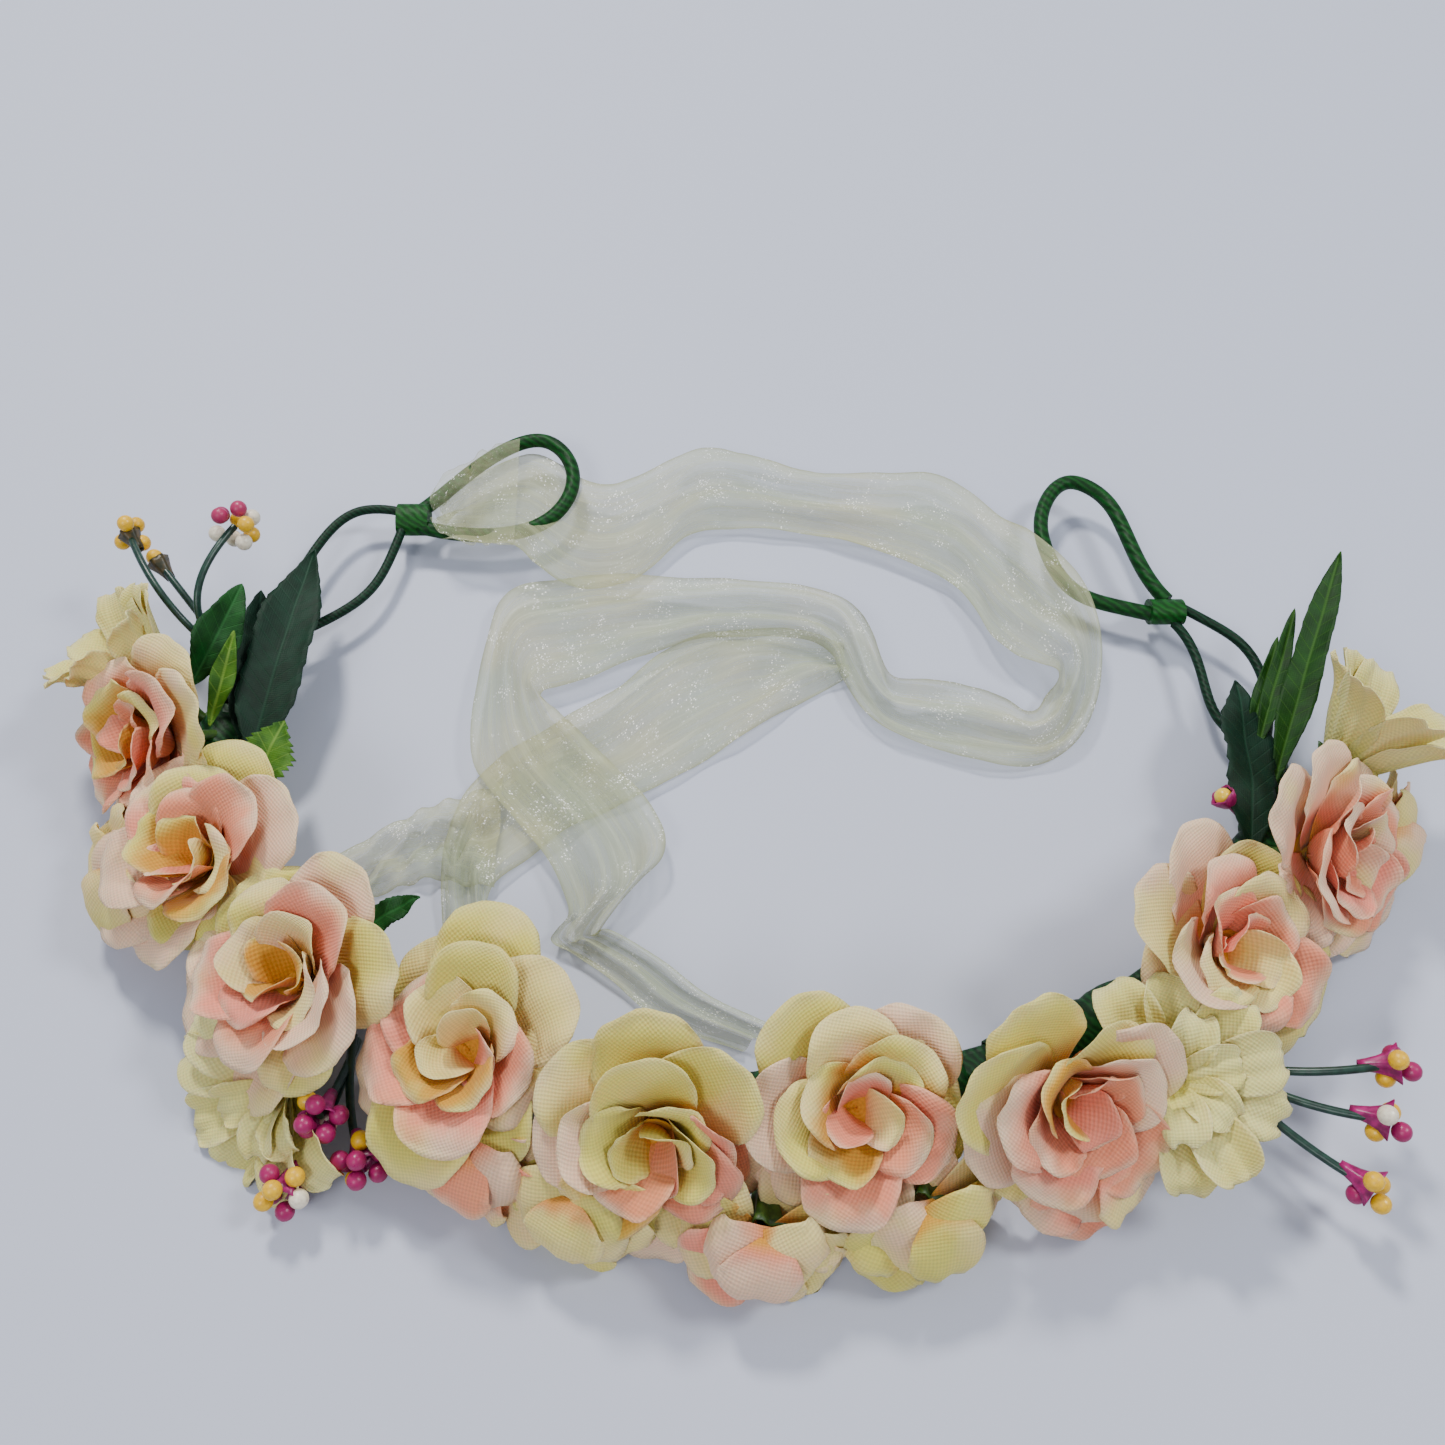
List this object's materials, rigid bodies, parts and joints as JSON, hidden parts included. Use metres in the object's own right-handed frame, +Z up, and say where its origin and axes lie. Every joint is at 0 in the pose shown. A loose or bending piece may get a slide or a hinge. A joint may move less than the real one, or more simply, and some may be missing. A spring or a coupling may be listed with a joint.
{
  "type": "flower crown",
  "caption": "Open wire crown covered in fabric roses, small blossoms, cosmos daisies, leaves and berry picks, with taped wire eyelets and a sheer organza tie ribbon.",
  "frame": {"origin": "on the table the crown lies on, in the middle of the head opening", "axes": "+Z up, across the band and out of the head opening; +Y towards the open back with the eyelets; +X from the left tail to the right tail, seen from above with the flowers in front"},
  "size_m": [0.2977, 0.2097, 0.0419],
  "materials": {
    "rose_fabric": "matt woven polyester, dyed cream, yellow and pink",
    "rose_heart_fabric": "matt woven polyester, dyed golden orange",
    "blossom_fabric": "matt woven polyester, dyed pink and cream",
    "daisy_fabric": "matt woven polyester, cream",
    "green_plastic": "matt",
    "flower_centre_plastic": "matt",
    "leaf_fabric": "matt coated fabric",
    "bead_lacquer": "gloss lacquer",
    "stem_plastic": "satin",
    "organza": "sheer, shimmering",
    "floral_tape": "waxed crepe paper",
    "wire_paper": "paper-covered wire"
  },
  "bodies": {
    "band": {"band_tape": "floral_tape", "band_wire_inner": "wire_paper", "band_wire_outer": "wire_paper", "blades_right": "leaf_fabric", "blossom_1_petals": "blossom_fabric", "blossom_2_petals": "blossom_fabric", "blossom_3_petals": "blossom_fabric", "blossom_4_petals": "blossom_fabric", "blossom_5_petals": "blossom_fabric", "blossom_6_petals": "blossom_fabric", "blossom_7_petals": "blossom_fabric", "blossom_calyxes": "green_plastic", "daisy_back_left_petals": "daisy_fabric", "daisy_back_right_petals": "daisy_fabric", "daisy_calyxes": "green_plastic", "daisy_front_left_petals": "daisy_fabric", "daisy_front_right_petals": "daisy_fabric", "dark_leaf_left": "leaf_fabric", "dark_leaf_right": "leaf_fabric", "flower_centres": "flower_centre_plastic", "lance_leaf_right": "leaf_fabric", "light_leaf_left": "leaf_fabric", "ribbon": "organza", "rose_1_inner_petals": "rose_fabric", "rose_1_outer_petals": "rose_fabric", "rose_2_inner_petals": "rose_fabric", "rose_2_outer_petals": "rose_fabric", "rose_3_inner_petals": "rose_fabric", "rose_3_outer_petals": "rose_fabric", "rose_4_inner_petals": "rose_fabric", "rose_4_outer_petals": "rose_fabric", "rose_5_inner_petals": "rose_fabric", "rose_5_outer_petals": "rose_fabric", "rose_6_inner_petals": "rose_fabric", "rose_6_outer_petals": "rose_fabric", "rose_7_inner_petals": "rose_fabric", "rose_7_outer_petals": "rose_fabric", "rose_8_inner_petals": "rose_fabric", "rose_8_outer_petals": "rose_fabric", "rose_9_inner_petals": "rose_fabric", "rose_9_outer_petals": "rose_fabric", "rose_calyxes": "green_plastic", "rose_hearts": "rose_heart_fabric", "small_leaves_left": "leaf_fabric"},
    "left_tail": {"left_binding": "floral_tape", "left_eyelet": "floral_tape", "left_tail_wire_inner": "wire_paper", "left_tail_wire_outer": "wire_paper"},
    "right_tail": {"right_binding": "floral_tape", "right_eyelet": "floral_tape", "right_tail_wire_inner": "wire_paper", "right_tail_wire_outer": "wire_paper"},
    "left_pick": {"left_pick_berries": "bead_lacquer", "left_pick_stems": "stem_plastic"},
    "right_pick": {"right_pick_berries": "bead_lacquer", "right_pick_stems": "stem_plastic"},
    "front_pick": {"front_pick_berries": "bead_lacquer", "front_pick_stems": "stem_plastic"}
  },
  "joints": [
    {"name": "left_tail_bend", "type": "hinge", "parent": "band", "child": "left_tail", "pos_m": [-0.10653, 0.03302, 0.008], "axis": [0, 0, 1], "range_deg": [-35, 15], "deforming": ["ribbon"]},
    {"name": "right_tail_bend", "type": "hinge", "parent": "band", "child": "right_tail", "pos_m": [0.12198, 0.0036, 0.008], "axis": [0, 0, 1], "range_deg": [-15, 35], "deforming": ["ribbon"]},
    {"name": "left_pick_bend", "type": "hinge", "parent": "band", "child": "left_pick", "pos_m": [-0.1145, 0.027, 0.012], "axis": [0.8678, 0.4969, 0], "range_deg": [-10, 10]},
    {"name": "right_pick_bend", "type": "hinge", "parent": "band", "child": "right_pick", "pos_m": [0.0965, -0.0655, 0.0065], "axis": [-0.5208, -0.8537, 0], "range_deg": [-8, 8]},
    {"name": "front_pick_bend", "type": "hinge", "parent": "band", "child": "front_pick", "pos_m": [-0.0745, -0.0625, 0.0065], "axis": [0, 0, 1], "range_deg": [-6, 6]}
  ]
}
